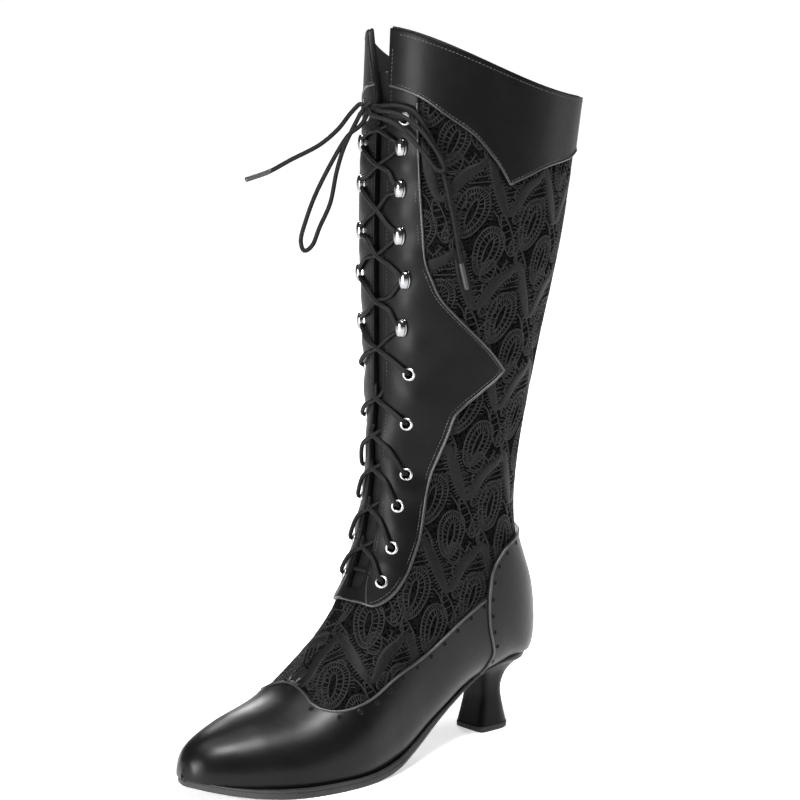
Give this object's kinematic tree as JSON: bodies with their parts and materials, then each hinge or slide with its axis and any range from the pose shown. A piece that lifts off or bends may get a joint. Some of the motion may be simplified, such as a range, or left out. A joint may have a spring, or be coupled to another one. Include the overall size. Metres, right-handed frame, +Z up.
{
  "type": "victorian lace up boot",
  "caption": "Tall slim left boot with a pointed toe, waisted heel, laced throat with eyelets and speed hooks, bracket edged vamp, lace covered shaft and pointed cuff.",
  "frame": {"origin": "centre of the heel tip's flat bottom, on the floor", "axes": "+Z up, toe towards -Y, the wearer's left (lateral side of this left boot) towards +X"},
  "size_m": [0.1041, 0.2693, 0.4025],
  "materials": {
    "leather": "satin black, fine grain",
    "lace_fabric": "black floral lace over matte cloth",
    "tongue_leather": "satin black",
    "sole_edge": "matte black",
    "footbed": "matte lining leather",
    "metal": "bright nickel",
    "lace_cord": "matte braided cord"
  },
  "bodies": {
    "root": {"outsole": "sole_edge", "insole": "footbed", "heel": "leather", "heel_tip": "sole_edge", "upper": "lace_fabric", "vamp": "leather", "counter": "leather", "eyestay": "leather", "cuff": "leather", "tongue": "tongue_leather", "eyelet_left_1": "metal", "eyelet_right_1": "metal", "eyelet_left_2": "metal", "eyelet_right_2": "metal", "eyelet_left_3": "metal", "eyelet_right_3": "metal", "eyelet_left_4": "metal", "eyelet_right_4": "metal", "eyelet_left_5": "metal", "eyelet_right_5": "metal", "eyelet_left_6": "metal", "eyelet_right_6": "metal", "hook_left_7": "metal", "hook_right_7": "metal", "hook_left_8": "metal", "hook_right_8": "metal", "hook_left_9": "metal", "hook_right_9": "metal", "hook_left_10": "metal", "hook_right_10": "metal", "hook_left_11": "metal", "hook_right_11": "metal", "eyelet_left_12": "metal", "eyelet_right_12": "metal", "lace_crossings": "lace_cord", "lace_knot": "lace_cord", "lace_loop_left": "lace_cord", "lace_loop_right": "lace_cord", "lace_end_left": "lace_cord", "lace_end_right": "lace_cord"}
  },
  "joints": []
}
